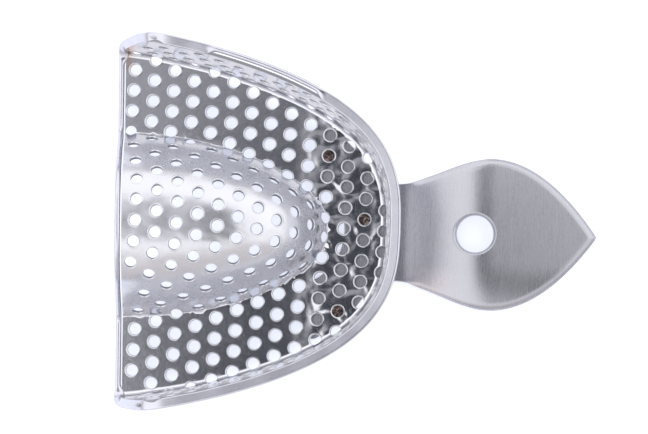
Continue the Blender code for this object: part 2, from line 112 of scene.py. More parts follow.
def easedArea(value):    # the area under ease, for a slope that eases in
    t = np.clip(value, 0.0, 1.0)
    return t**3 - t**4 / 2 + np.maximum(value - 1.0, 0.0)


def unit(vectors):
    vectors = np.asarray(vectors, float)
    return vectors / np.linalg.norm(vectors, axis=-1, keepdims=True)


def evenly(path, spacing):    # the same path with points one spacing apart
    path = np.asarray(path, float)
    along = np.concatenate([[0.0], np.cumsum(np.linalg.norm(np.diff(path, axis=0), axis=1))])
    stations = np.linspace(0.0, along[-1], max(2, int(round(along[-1] / spacing)) + 1))
    return np.stack([np.interp(stations, along, part) for part in path.T], axis=1)


def rounded(before, corner, after, reach, count):    # quadratic curve that rounds a corner
    corner = np.asarray(corner, float)
    start = corner + reach * unit(np.asarray(before) - corner)
    end = corner + reach * unit(np.asarray(after) - corner)
    t = np.linspace(0.0, 1.0, count)[:, None]
    return (1 - t) ** 2 * start + 2 * t * (1 - t) * corner + t**2 * end


def insideLoop(loop, points):    # counts how often a ray to +X crosses the loop
    ahead = np.roll(loop, -1, axis=0)
    x, y = points[:, :1], points[:, 1:]
    crosses = (loop[:, 1] > y) != (ahead[:, 1] > y)
    rise = np.where(ahead[:, 1] == loop[:, 1], 1.0, ahead[:, 1] - loop[:, 1])
    meets = loop[:, 0] + (y - loop[:, 1]) * (ahead[:, 0] - loop[:, 0]) / rise
    return (crosses & (x < meets)).sum(axis=1) % 2 == 1


def inChunks(work, points, size=1500):    # keeps the big distance tables small
    parts = [work(points[k : k + size]) for k in range(0, len(points), size)]
    return [np.concatenate(column) for column in zip(*parts)]


def loopDistance(loop, points):    # distance to the nearest side of a closed loop
    side = np.roll(loop, -1, axis=0) - loop

    def work(some):
        gap = some[:, None, :] - loop[None, :, :]
        share = np.clip((gap * side).sum(axis=2) / (side**2).sum(axis=1), 0.0, 1.0)
        return (np.sqrt(((gap - share[:, :, None] * side) ** 2).sum(axis=2)).min(axis=1),)

    return inChunks(work, points)[0]


def offsetLoop(loop, distance):    # a closed loop moved to the left of its travel
    ahead = unit(np.roll(loop, -1, axis=0) - np.roll(loop, 1, axis=0))
    return loop + distance * np.stack([-ahead[:, 1], ahead[:, 0]], axis=1)


# the arch: |Y| = halfWidth (1 - (X / length)^power)^root, where the floor ends and the wall starts

def archLine():
    side = np.cos(np.linspace(0.0, math.pi, arch["samples"]))
    reach = (1.0 - np.abs(side) ** (1.0 / arch["root"])) ** (1.0 / arch["power"])
    path = np.stack([arch["length"] * reach, arch["halfWidth"] * side], axis=1)
    return evenly(path, arch["step"])


archPath = archLine()
archAhead = unit(np.gradient(archPath, axis=0))
archOut = np.stack([-archAhead[:, 1], archAhead[:, 0]], axis=1)
archAlong = np.concatenate([[0.0], np.cumsum(np.hypot(*np.diff(archPath, axis=0).T))])


def archAt(along):    # the arch's point and outward normal at a distance along it
    foot = np.stack([np.interp(along, archAlong, archPath[:, k]) for k in range(2)], axis=1)
    out = np.stack([np.interp(along, archAlong, archOut[:, k]) for k in range(2)], axis=1)
    return foot, unit(out)


def nearestOnArch(points):    # distance outside the arch, the foot on it and the normal there
    def work(some):
        gap = some[:, None, :] - archPath[None, :, :]
        nearest = (gap**2).sum(axis=2).argmin(axis=1)
        past = ((some - archPath[nearest]) * archAhead[nearest]).sum(axis=1)
        foot, out = archAt(archAlong[nearest] + past)
        ends = (nearest == 0) | (nearest == len(archPath) - 1)
        straight = archPath[nearest] + archAhead[nearest] * past[:, None]
        foot = np.where(ends[:, None], straight, foot)
        return ((some - archPath[nearest]) * archOut[nearest]).sum(axis=1), foot, out

    return inChunks(work, points)


def domeWidth(x):
    share = np.clip(x / dome["length"], 0.0, 1.2)
    return dome["halfWidth"] * (1.0 - dome["taper"] * share**2)


def domeLift(x, y):    # height (1 - |y / width|^power - (x / length)^6), blended into the floor
    nose = np.clip(x / dome["length"], 0.0, 1.2) ** dome["nosePower"]
    height = dome["height"] * (1.0 - np.abs(y / domeWidth(x)) ** dome["power"] - nose)
    blend = (height + dome["footBlend"]) ** 2 / (4 * dome["footBlend"])
    low, high = height < -dome["footBlend"], height > dome["footBlend"]
    return np.where(high, height, np.where(low, 0.0, blend))


def domeContour(height):    # the line on the plan where the dome's curve reaches a height
    level = 1.0 - height / dome["height"]
    turn = np.linspace(0.0, 1.0, 400) ** 3 * math.pi / 2
    x = dome["length"] * (level * np.sin(turn) ** 2) ** (1.0 / dome["nosePower"])
    y = domeWidth(x) * (level * np.cos(turn) ** 2) ** (1.0 / dome["power"])
    half = np.stack([x, y], axis=1)
    return evenly(np.concatenate([half, half[-2::-1] * (1, -1)]), dome["lineSpacing"])


def shellSurface(plan):
    # inside the arch the plan is lifted by the dome; outside it, the distance from the arch is
    # a length round the bend (radius times angle) and then straight up the wall
    outside, foot, out = nearestOnArch(plan)
    beyond = np.maximum(outside, 0.0)
    turned = np.clip(beyond / wall["bendRadius"], 0.0, wall["angle"])
    straight = np.maximum(beyond - bendLength, 0.0)
    run = wall["bendRadius"] * np.sin(turned) + straight * math.cos(wall["angle"])
    rise = wall["bendRadius"] * (1 - np.cos(turned)) + straight * math.sin(wall["angle"])
    onWall = (outside > 0.0)[:, None]
    x, y = plan.T
    flat = np.where(onWall, foot + out * run[:, None], plan)
    height = np.where(onWall[:, 0], rise, domeLift(x, y))
    step = slopeStep
    slopeX = (domeLift(x + step, y) - domeLift(x - step, y)) / (2 * step)
    slopeY = (domeLift(x, y + step) - domeLift(x, y - step)) / (2 * step)
    onDome = np.stack([-slopeX, -slopeY, np.ones_like(x)], axis=1)
    upWall = np.column_stack([-out * np.sin(turned)[:, None], np.cos(turned)])
    middle = np.column_stack([flat, floorLevel + height])
    return middle, unit(np.where(onWall, upWall, onDome))


def shellSide(side, spacing):
    # the sheet's edge on the plan, from the middle of the back edge to the front; the wall grows
    # as (1 - (1 - t)^2)^risePower from the back edge
    fullDepth = bendLength + (
        wall["height"] - wall["bendRadius"] * (1 - math.cos(wall["angle"]))
    ) / math.sin(wall["angle"])
    inset, skew = wall["backInset"], wall["backSkew"]
    backX = inset - side * skew * arch["halfWidth"]
    along = np.linspace(backX + wall["cornerReach"], archAlong[-1] / 2, 200)
    foot, out = archAt(along)
    grown = np.clip((along - backX) / wall["riseLength"], 0.0, 1.0)
    depth = fullDepth * (1.0 - (1.0 - grown) ** 2) ** wall["risePower"]
    edge = (foot + out * depth[:, None]) * (1, side)
    lead = unit(edge[0] - edge[1])
    toBack = inset - skew * edge[0][1] - edge[0][0]
    corner = edge[0] + lead * toBack / (lead[0] + skew * lead[1])
    bend = rounded((inset, 0.0), corner, edge[0], wall["cornerReach"], 16)
    y = np.linspace(0.0, bend[0][1], 90)[:-1]
    pull = dome["backPull"] * domeLift(np.zeros_like(y), y) / dome["height"]
    back = np.stack([inset - skew * y + pull, y], axis=1)
    return evenly(np.concatenate([back, bend, edge]), spacing)


def shellOutline(spacing):    # from the middle of the back edge by +Y to the front and on by -Y
    return np.concatenate([shellSide(1, spacing), shellSide(-1, spacing)[-2:0:-1]])


# sheet metal: a plan is cut into triangles and pressed into shape as two skins, and rings of
# faces roll over every edge. A ring is (distance in from the edge, height as a share of half the
# thickness, tilt of its normal from straight up towards the edge, in degrees)

def toMesh(name, places, faces, normals=None, cut=None):
    mesh = bpy.data.meshes.new(name)
    places = (np.asarray(places) + (trayBack, 0.0, 0.0)) * millimetre
    mesh.from_pydata(places.tolist(), [], [face for part in faces for face in part.tolist()])
    mesh.shade_smooth()
    if normals is not None:
        mesh.normals_split_custom_set_from_vertices(unit(normals).tolist())
    if cut is not None:
        mesh.attributes.new("cut", "FLOAT", "POINT").data.foreach_set("value", cut)
    piece = bpy.data.objects.new(name, mesh)
    bpy.context.scene.collection.objects.link(piece)
    return piece


def cutPlan(loops, extra):    # triangles that fill the first loop and leave the others open
    starts = np.cumsum([0] + [len(loop) for loop in loops])
    points = np.concatenate(loops + [extra])
    first = np.arange(starts[-1])
    owner = np.full(len(points), -1)
    owner[: starts[-1]] = np.repeat(np.arange(len(loops)), np.diff(starts))
    after = first + 1
    after[starts[1:] - 1] = starts[:-1]
    edges = np.stack([first, after], axis=1).tolist()
    verts, _, faces, origins, _, _ = delaunay_2d_cdt(
        [Vector(point) for point in points], edges, [], 0, 1e-5
    )
    made = np.repeat(np.arange(len(verts)), [len(given) for given in origins])
    given = np.fromiter(itertools.chain.from_iterable(origins), int)
    newPlace = np.full(len(points), -1)
    newPlace[given] = made
    loopOf = np.full(len(verts), -1)
    loopOf[newPlace[first]] = owner[first]
    plan = np.array([tuple(vert) for vert in verts])
    faces = np.array([face for face in faces if len(face) == 3])
    inHole = (loopOf[faces] == loopOf[faces[:, :1]]).all(axis=1) & (loopOf[faces[:, 0]] > 0)
    faces = faces[~inHole & insideLoop(loops[0], plan[faces].mean(axis=1))]
    sideA, sideB = plan[faces[:, 1]] - plan[faces[:, 0]], plan[faces[:, 2]] - plan[faces[:, 0]]
    turned = sideA[:, 0] * sideB[:, 1] - sideA[:, 1] * sideB[:, 0] < 0
    faces[turned] = faces[turned][:, ::-1]
    return plan, faces, [newPlace[a:b] for a, b in zip(starts[:-1], starts[1:])]


def edgeRings(surface, thickness, plans, rings):
    # plans holds each ring's places on the plan, (loops, rings, count, 2)
    shape = plans.shape[:3]
    middle, normal = surface(plans.reshape(-1, 2))
    middle, normal = middle.reshape(*shape, 3), normal.reshape(*shape, 3)
    inset, share, tilt = (np.array(part) for part in zip(*rings))
    rim = middle[:, inset.argmin()]
    towards = unit(rim - middle[:, inset.argmax()])[:, None]
    angle = np.radians(tilt)[None, :, None, None]
    places = middle + normal * (share * thickness / 2)[None, :, None, None]
    return places, np.cos(angle) * normal + np.sin(angle) * towards


def pressedSheet(name, surface, thickness, outline, outlineRings, holes, holeRings, extra):
    groups = [(outline[None], outlineRings), (holes, holeRings)]
    loops = [plans[0] for group, _ in groups for plans in group]
    plan, triangles, loopPlaces = cutPlan(loops, extra)
    middle, normal = surface(plan)
    count = len(plan)
    places = [middle + normal * thickness / 2, middle - normal * thickness / 2]
    normals = [normal, -normal]
    cut = [np.zeros(2 * count)]
    faces = [triangles, triangles[:, ::-1] + count]
    total, loop = 2 * count, 0
    for plans, rings in groups:
        ringPlaces, ringNormals = edgeRings(surface, thickness, plans, rings)
        many, deep, wide = plans.shape[:3]
        index = total + np.arange(many * (deep - 2) * wide).reshape(many, deep - 2, wide)
        own = np.stack(loopPlaces[loop : loop + many])[:, None, :]
        table = np.concatenate([own, index, own + count], axis=1)
        near, far = table[:, :-1], table[:, 1:]
        quads = [near, far, np.roll(far, -1, axis=2), np.roll(near, -1, axis=2)]
        faces.append(np.stack(quads, axis=-1).reshape(-1, 4))
        places.append(ringPlaces[:, 1:-1].reshape(-1, 3))
        normals.append(ringNormals[:, 1:-1].reshape(-1, 3))
        onWall = np.array([ring[0] == 0.0 for ring in rings[1:-1]], float)
        cut.append(np.broadcast_to(onWall[None, :, None], index.shape).ravel())
        total, loop = total + index.size, loop + many
    places, normals, cut = (np.concatenate(part) for part in (places, normals, cut))
    return toMesh(name, places, faces, normals, cut)


# shader maths: Value wraps a socket so that expressions add Math nodes, and Finish.node makes
# any other node from its settings and the values or links of its sockets

class Value:
    def __init__(self, finish, socket):
        self.finish, self.socket = finish, socket

    def maths(self, kind, *terms):
        settings = {"operation": kind}
        return self.finish.node("ShaderNodeMath", settings, dict(enumerate(terms)))

    def __add__(self, other):
        return self.maths("ADD", self, other)

    def __sub__(self, other):
        return self.maths("SUBTRACT", self, other)

    def __rsub__(self, other):
        return self.maths("SUBTRACT", other, self)

    def __mul__(self, other):
        return self.maths("MULTIPLY", self, other)

    __radd__, __rmul__ = __add__, __mul__


class Finish:
    def __init__(self, name, **fixed):
        self.material = bpy.data.materials.new(name)
        self.material.use_nodes = True
        self.tree = self.material.node_tree
        self.shader = self.tree.nodes["Principled BSDF"]
        self.set(fixed)

    def set(self, values):
        for socket, value in values.items():
            self.feed(self.shader.inputs[socket.replace("_", " ")], value)

    def feed(self, socket, value):
        if isinstance(value, Value):
            self.tree.links.new(value.socket, socket)
        elif value is not None:
            socket.default_value = value

    def node(self, kind, settings=None, values=None, output=0):
        node = self.tree.nodes.new(kind)
        for key, value in (settings or {}).items():
            if key == "stops":
                ramp = node.color_ramp.elements
                while len(ramp) < len(value):
                    ramp.new(0.5)
                for stop, (place, colour) in zip(ramp, value):
                    stop.position, stop.color = place, (*colour, 1.0)
            else:
                setattr(node, key, value)
        for key, value in (values or {}).items():
            self.feed(node.inputs[key], value)
        return Value(self, node.outputs[output])

    def millimetres(self, stretch=(1.0, 1.0, 1.0), turn=0.0):    # object places, from the back edge
        place = self.node("ShaderNodeTexCoord", output=3)
        scale = [part / millimetre for part in stretch]
        move = (-trayBack * stretch[0], 0.0, 0.0)
        values = {"Vector": place, "Scale": scale, "Location": move, "Rotation": (0, 0, turn)}
        return self.node("ShaderNodeMapping", None, values)

    def noise(self, place, scale, detail=2.0, roughness=0.5, distortion=0.0):
        values = {"Vector": place, "Scale": scale, "Detail": detail, "Roughness": roughness}
        values["Distortion"] = distortion
        return self.node("ShaderNodeTexNoise", None, values)

    def attribute(self, name):    # a number that the mesh carries
        return self.node("ShaderNodeAttribute", {"attribute_name": name}, output=2)

    def between(self, value, low, high, first=0.0, last=1.0):    # eased step from low to high
        settings = {"interpolation_type": "SMOOTHSTEP"}
        values = {"Value": value, "From Min": low, "From Max": high, "To Min": first}
        values["To Max"] = last
        return self.node("ShaderNodeMapRange", settings, values)

    def mix(self, share, first, second):    # colours
        settings = {"data_type": "RGBA"}
        return self.node("ShaderNodeMix", settings, {0: share, 6: first, 7: second}, 2)

    def absolute(self, value):
        return value.maths("ABSOLUTE", value)

    def split(self, vector, axis):
        return self.node("ShaderNodeSeparateXYZ", None, {"Vector": vector}, axis)

    def bump(self, height, depth, under=None):    # depth in millimetres
        values = {"Height": height, "Distance": depth * millimetre, "Normal": under}
        return self.node("ShaderNodeBump", None, values)


def coloured(red, green, blue):
    return (red, green, blue, 1.0)


# the perforated shell

perforations = {
    "diameter": 2.1,
    "sides": 24,
    "columnPitch": 3.83,
    "rowPitch": 3.95,
    "turn": math.radians(-2.26),
    "start": (0.92, 4.02),
    "drawInward": 2.02,       # how far the dome's drawing pulled the punched grid to the axis
    "drawInwardEnd": 43.0,
    "drawForward": 4.1,
    "rimMargin": 0.95,        # sheet left between a perforation and the wall's edge
    "backMargin": 0.1,        # and the back edge
    "edgeReach": 0.07,        # sheet that the rounding of its edge takes up
    "narrowest": 0.1,         # what is left of a lip that is right at the edge
    "rings": [
        (0.34, 1, 0), (0.25, 1.08, -16), (0.17, 1.14, 2), (0.09, 1.02, 38), (0.03, 0.6, 70),
        (0.0, 0.1, 88), (0.0, -0.75, 94), (0.06, -1, 150), (0.34, -1, 180),
    ],
}
shellMesh = {
    "edgeRings": [
        (0.05, 1, 0), (0.025, 0.93, 45), (0.0, 0.8, 88),
        (0.0, -0.8, 92), (0.025, -0.93, 135), (0.05, -1, 180),
    ],
    "edgeSpacing": 0.5,
    "spacing": 1.2,           # of the points that fill the sheet
    "span": ((1.0, 66.0), (-48.0, 48.0)),
    "bendRows": 5,            # along the bend into the wall
    "bendSpacing": 1.0,
    # the least distance from such a point to the bend, an edge, a lip's ring and the whole lip
    "room": {"bend": 0.5, "edge": 0.6, "ring": 0.22, "lip": 0.15},
}


def drawShare(x, y):
    # how much of the draw to the dome has happened between the axis and y: by how much a
    # parabola of the dome's height, y = k r^2 / 2, is longer than its reach r
    width = domeWidth(x)
    steepness = 2 * dome["height"] / width**2
    nose = np.clip(x / dome["length"], 0.0, 1.2) ** dome["nosePower"]
    foot = width * np.sqrt(np.clip(1.0 - nose, 1e-4, None))

    def surplus(reach):
        scaled = steepness * reach
        return (reach * np.sqrt(1 + scaled**2) + np.arcsinh(scaled) / steepness) / 2 - reach

    return surplus(np.minimum(np.abs(y), foot)) / surplus(foot)


def perforationCentres(outline):    # a staggered grid, moved as the pressing moved it
    punch = perforations
    column, row = np.meshgrid(np.arange(-3, 22), np.arange(-16, 16), indexing="ij")
    column, row = column.ravel(), row.ravel()
    ahead = column * punch["columnPitch"]
    aside = (row + 0.5 * (column % 2)) * punch["rowPitch"]
    cos, sin = math.cos(punch["turn"]), math.sin(punch["turn"])
    punchedX = punch["start"][0] + ahead * cos - aside * sin
    punchedY = punch["start"][1] + ahead * sin + aside * cos
    x, y = punchedX.copy(), punchedY.copy()
    for _ in range(80):
        lift = domeLift(x, y) / dome["height"]
        pull = punch["drawInward"] * np.clip(1 - x / punch["drawInwardEnd"], 0.0, None)
        x += 0.3 * (punchedX + punch["drawForward"] * lift - x)
        y += 0.3 * (punchedY - np.sign(punchedY) * pull * drawShare(x, y) - y)
    centres = np.stack([x, y], axis=1)
    centres = centres[insideLoop(outline, centres)]
    onWall = nearestOnArch(centres)[0] > 0.0
    margin = np.where(onWall, punch["rimMargin"], punch["backMargin"])
    return centres[loopDistance(outline, centres) > punch["diameter"] / 2 + margin]


def perforationPlans(centres, outline):
    # each ring is a circle, clockwise; on the dome it is round on the surface and not the plan,
    # and a lip is narrower where the sheet's edge is near
    punch = perforations
    turn = -np.arange(punch["sides"]) * 2 * math.pi / punch["sides"]
    circle = np.stack([np.cos(turn), np.sin(turn)])
    here = shellSurface(centres)[0]
    alongX = (shellSurface(centres + (slopeStep, 0))[0] - here) / slopeStep
    alongY = (shellSurface(centres + (0, slopeStep))[0] - here) / slopeStep
    first = unit(alongX)
    second = unit(np.cross(np.cross(alongX, alongY), first))
    slope = np.stack([alongX, alongY], axis=2)
    toPlan = np.linalg.pinv(slope) @ np.stack([first, second], axis=2)
    flat = domeLift(*centres.T) == 0.0
    toPlan[flat] = np.eye(2)
    insets = np.array([ring[0] for ring in punch["rings"]])
    radius = punch["diameter"] / 2
    spare = loopDistance(outline, centres) - radius - punch["edgeReach"]
    radii = radius + insets * np.clip(spare / insets[0], punch["narrowest"], 1.0)[:, None]
    mapped = toPlan[:, None] @ (radii[:, :, None, None] * circle)
    return centres[:, None, None, :] + np.swapaxes(mapped, 2, 3)


def fillPoints(outline, centres, rims):    # rows along the bends, and a grid that keeps clear
    room = shellMesh["room"]
    foot, out = archAt(np.arange(0.0, archAlong[-1], shellMesh["bendSpacing"]))
    bends = np.linspace(0.0, bendLength, shellMesh["bendRows"])
    rows = [foot + out * distance for distance in bends]
    rows += [domeContour(height) for height in dome["lines"]]
    grid = np.meshgrid(*(np.arange(*span, shellMesh["spacing"]) for span in shellMesh["span"]))
    grid = np.stack(grid, axis=-1).reshape(-1, 2)
    toBend = np.abs(nearestOnArch(grid)[0] - bendLength / 2) - bendLength / 2
    grid = grid[toBend > room["bend"]]
    rise = domeLift(*grid.T)
    grid = grid[(rise == 0.0) | (rise > dome["lines"][-1])]
    points = np.concatenate(rows + [grid])
    points = points[insideLoop(outline, points)]
    points = points[loopDistance(outline, points) > room["edge"]]
    lip = perforations["diameter"] / 2 + perforations["rings"][0][0]
    toRim, toCentre = (
        inChunks(lambda some: (np.hypot(*(some[:, None] - marks[None]).T).min(axis=0),), points)[0]
        for marks in (rims, centres)
    )
    return points[(toRim > room["ring"]) & (toCentre > lip + room["lip"])]


def makeShell():
    outline = shellOutline(shellMesh["edgeSpacing"])[::-1]
    centres = perforationCentres(outline)
    plans = perforationPlans(centres, outline)
    insets = [ring[0] for ring in shellMesh["edgeRings"]]
    edges = np.stack([offsetLoop(outline, inset) for inset in insets])
    shell = pressedSheet(
        "tray_shell", shellSurface, sheet["thickness"], edges, shellMesh["edgeRings"],
        plans, perforations["rings"], fillPoints(outline, centres, plans[:, 0].reshape(-1, 2)),
    )
    print("shell:", len(centres), "perforations,", len(shell.data.polygons), "faces")
    return shell


# the rim wire: a round wire beside the sheet's edge, whose seam is filled along some stretches

rim = {
    "diameter": 1.1,
    "clearance": 0.25,
    "sides": 20,
    "spacing": 0.35,
    "relax": 16,             # how often the path is smoothed, as wire can't follow a sharp corner
    "wave": 0.02,            # how uneven its thickness is along the wall
    "bandStart": 3,          # the side of the wire's section where the flush band starts
    "bandWidth": 1.43,       # how far in from the wire's middle a filled seam is ground flush
    "bandThickness": 0.1,    # how far below the wire's middle the band reaches at its inner edge
    "bandRise": (0.34, 0.27),    # the band's inner edge above the wire's middle, flat and upright
    "openFrom": 17.0,        # the seam stays open along the left wall between these
    "openTo": 39.5,
    "backEnds": 3.0,         # how far forward the back edge reaches
    "bandFrom": 30.5,        # along the back edge, where the band of each corner ends
    "fade": 2.0,
}


def rimPath():
    outline = shellOutline(rim["spacing"])
    outside, _, _ = nearestOnArch(outline)
    upright = ease(outside / bendLength)
    edge, _ = shellSurface(outline)
    ahead = unit(np.roll(edge, -1, axis=0) - np.roll(edge, 1, axis=0))
    outward = unit(np.stack([-ahead[:, 1], ahead[:, 0], 0 * ahead[:, 0]], axis=1))
    radius = rim["diameter"] / 2
    offset = radius + rim["clearance"] + sheet["thickness"] / 2 * upright
    path = edge + outward * offset[:, None]
    path[:, 2] -= (radius - sheet["thickness"] / 2) * upright
    for _ in range(rim["relax"]):
        path = (np.roll(path, 1, axis=0) + 2 * path + np.roll(path, -1, axis=0)) / 4
    ahead = unit(np.roll(path, -1, axis=0) - np.roll(path, 1, axis=0))
    outward = unit(np.stack([-ahead[:, 1], ahead[:, 0], 0 * ahead[:, 0]], axis=1))
    return path, ahead, outward, upright


def makeRim():
    # a point is the path's place plus the radius times (cos a outward + sin a up); where the seam
    # is filled, the section runs straight from its upper outer quarter in over the sheet's edge,
    # and back under the wire
    path, ahead, outward, upright = rimPath()
    up = unit(np.cross(ahead, outward))
    up *= np.sign(up[:, 2:])
    turn = np.arange(rim["sides"]) * 2 * math.pi / rim["sides"]
    x, y = path[:, 0], path[:, 1]
    opened = ease((x - rim["openFrom"]) / rim["fade"]) * ease((rim["openTo"] - x) / rim["fade"])
    inBack = 1 - ease((np.abs(y) - rim["bandFrom"]) / rim["fade"])
    fill = np.where(y > 0, 1 - opened, 1.0) * np.where(x < rim["backEnds"], 1 - inBack, 1.0)
    radius, sole = rim["diameter"] / 2, rim["bandThickness"]
    lowest, highest = rim["bandRise"][1], rim["bandRise"][0]
    rise = highest + (lowest - highest) * upright
    start = turn[rim["bandStart"]]
    across = np.clip((turn - start) / (math.pi - start), 0.0, 1.0)
    under = np.clip((turn - math.pi) / (math.pi / 2), 0.0, 1.0)
    below = turn > math.pi
    bandOut = radius * math.cos(start) * (1 - across) - rim["bandWidth"] * across
    bandOut = np.where(below, -rim["bandWidth"] * (1 - under), bandOut)
    bandUp = radius * math.sin(start) * (1 - across) + rise[:, None] * across
    bandUp = np.where(below, -sole - (radius - sole) * under, bandUp)
    banded = (turn > start) & (turn < 1.5 * math.pi)
    share = fill[:, None] * banded
    sideways = radius * np.cos(turn) * (1 - share) + bandOut * share
    upward = radius * np.sin(turn) * (1 - share) + bandUp * share
    wave = 1 + rim["wave"] * np.sin(0.9 * x + 1.7 * np.sin(0.31 * y)) * upright
    places = path[:, None] + (wave[:, None] * sideways)[:, :, None] * outward[:, None]
    places += (wave[:, None] * upward)[:, :, None] * up[:, None]
    rows, sides = places.shape[:2]
    index = np.arange(rows * sides).reshape(rows, sides)
    after, ahead = np.roll(index, -1, 1), np.roll(index, -1, 0)
    quads = [index, after, np.roll(ahead, -1, 1), ahead]
    faces = np.stack(quads, axis=-1).reshape(-1, 4)
    wire = toMesh("rim", places.reshape(-1, 3), [faces])
    print("rim:", len(wire.data.polygons), "faces")
    return wire


# the handle

grip = {
    "thickness": 1.2,
    "footInset": 0.4,
    "footHornDepth": 13.0,
    "footMiddleDepth": 6.9,
    "footNotchRadius": 10.9,
    "neckHalfWidth": 9.3,
    "neckLength": 3.1,
    "widestToTip": 19.7,
    "halfWidth": 14.0,
    "tipPower": 2.0,
    "risePastNeck": 0.5,
    "riseBend": 2.5,
    "riseSlope": 0.268,
    "riseLength": 10.5,
    "crestBend": 8.0,
    "fallSlope": 0.07,
    "crown": 0.3,            # how much the grip's sides hang below its middle
    "sag": 0.6,              # and how much further its right side does
    "sagFrom": -5.5,
    "groove": 0.035,         # a crease along the inside of the turned-down edge
    "turnWidth": 0.75,
    "wideTurnWidth": 1.25,   # the turned-down edge is wider along the left side's rear half
    "turnDrop": 0.55,
    "holeToTip": 22.6,
    "holeDiameter": 7.0,
    "holeSides": 72,
    "edgeRings": [
        (0.16, 1, 0), (0.05, 0.92, 40), (0.0, 0.7, 80),
        (0.0, -0.7, 100), (0.05, -0.93, 140), (0.16, -1, 180),
    ],
    "holeRings": [
        (0.62, 1, 0), (0.5, 0.98, 14), (0.34, 0.84, 38), (0.16, 0.55, 56), (0.03, 0.2, 78),
        (0.0, 0.0, 90), (0.0, -0.8, 90), (0.06, -1, 150), (0.62, -1, 180),
    ],
    "edgeSpacing": 0.5,
    "rows": (0.35, 0.5, 0.62, 0.75, 0.88, 1.0, 1.12, 1.25, 1.38, 1.52, 1.8),    # in from the edge
    "spacing": 0.8,          # of the points that fill the rest
    "span": ((36.0, 92.0), (-20.0, 20.4)),
    "gridFrom": 2.2,         # how far in from the edge they start
    "holeRoom": 0.25,
}
neckEnd = arch["length"] + grip["neckLength"]
gripWidest = handleTip - grip["widestToTip"]
riseStart = neckEnd + grip["risePastNeck"]
crestStart = riseStart + grip["riseLength"]
hangingHole = np.array((handleTip - grip["holeToTip"], 0.0))


def gripHalfWidth(x):    # neck, flare, then a leaf-shaped end
    flare = ease((x - neckEnd) / (gripWidest - neckEnd))
    widening = grip["neckHalfWidth"] + (grip["halfWidth"] - grip["neckHalfWidth"]) * flare
    ahead = np.clip((x - gripWidest) / (handleTip - gripWidest), 0.0, 1.0)
    return widening * (1.0 - ahead ** grip["tipPower"])


def handleOutline(spacing):
    gripX = np.linspace(handleTip, neckEnd, 200)
    side = np.stack([gripX, gripHalfWidth(gripX)], axis=1)
    inset = evenly(archPath - archOut * grip["footInset"], 0.3)
    inset = inset[inset[:, 1] > 0]
    footBack = arch["length"] - grip["footHornDepth"]
    notch = arch["length"] - grip["footMiddleDepth"] - grip["footNotchRadius"]
    radius = grip["footNotchRadius"]
    footEdge = inset[(inset[:, 1] > grip["neckHalfWidth"]) & (inset[:, 0] > footBack)][::-1]
    neckCorner, hornCorner = footEdge[0], footEdge[-1]
    innerCorner = np.array((footBack, math.sqrt(radius**2 - (footBack - notch) ** 2)))
    start = math.atan2(innerCorner[1], footBack - notch)
    turn = np.linspace(start - 0.14, 0.0, 40)
    arc = np.stack([np.cos(turn), np.sin(turn)], axis=1) * radius + (notch, 0)
    half = np.concatenate([
        side,
        rounded(side[-1], neckCorner, footEdge[6], 1.6, 12),
        footEdge[6:-6],
        rounded(footEdge[-6], hornCorner, innerCorner, 1.4, 12),
        rounded(hornCorner, innerCorner, arc[0], 1.2, 12),
        arc,
    ])
    half = evenly(half, spacing)
    return np.concatenate([half, half[-2:0:-1] * (1, -1)])


handleLoop = handleOutline(grip["edgeSpacing"])


def handleHeight(x, y):    # flat foot, a rise, a slight fall, a crown across, edges turned down
    rise = grip["riseSlope"] * grip["riseBend"] * easedArea((x - riseStart) / grip["riseBend"])
    steepness = (grip["riseSlope"] + grip["fallSlope"]) * grip["crestBend"]
    fall = steepness * easedArea((x - crestStart) / grip["crestBend"])
    onGrip = ease((x - riseStart - 1.0) / 4)
    crown = grip["crown"] * (np.abs(y) / grip["halfWidth"]) ** 3 * onGrip
    sagged = np.clip((grip["sagFrom"] - y) / 8, 0.0, 1.2) ** 2
    crown = crown + grip["sag"] * sagged * ease((x - riseStart) / 6)
    room = loopDistance(handleLoop, np.stack([x, y], axis=1))
    wide = ease((gripWidest + 1 - x) / 4) * (y > 0)
    width = grip["turnWidth"] + (grip["wideTurnWidth"] - grip["turnWidth"]) * wide
    turned = grip["turnDrop"] * np.clip(1.0 - room / width, 0.0, 1.0) ** 1.4 * onGrip
    crease = grip["groove"] * np.exp(-(((room - width) / 0.22) ** 2)) * onGrip
    return grip["thickness"] / 2 + rise - fall - crown - turned - crease


def handleSurface(plan):
    x, y = plan.T
    step = 0.03
    slopeX = (handleHeight(x + step, y) - handleHeight(x - step, y)) / (2 * step)
    slopeY = (handleHeight(x, y + step) - handleHeight(x, y - step)) / (2 * step)
    normal = np.stack([-slopeX, -slopeY, np.ones_like(x)], axis=1)
    return np.column_stack([plan, handleHeight(x, y)]), unit(normal)


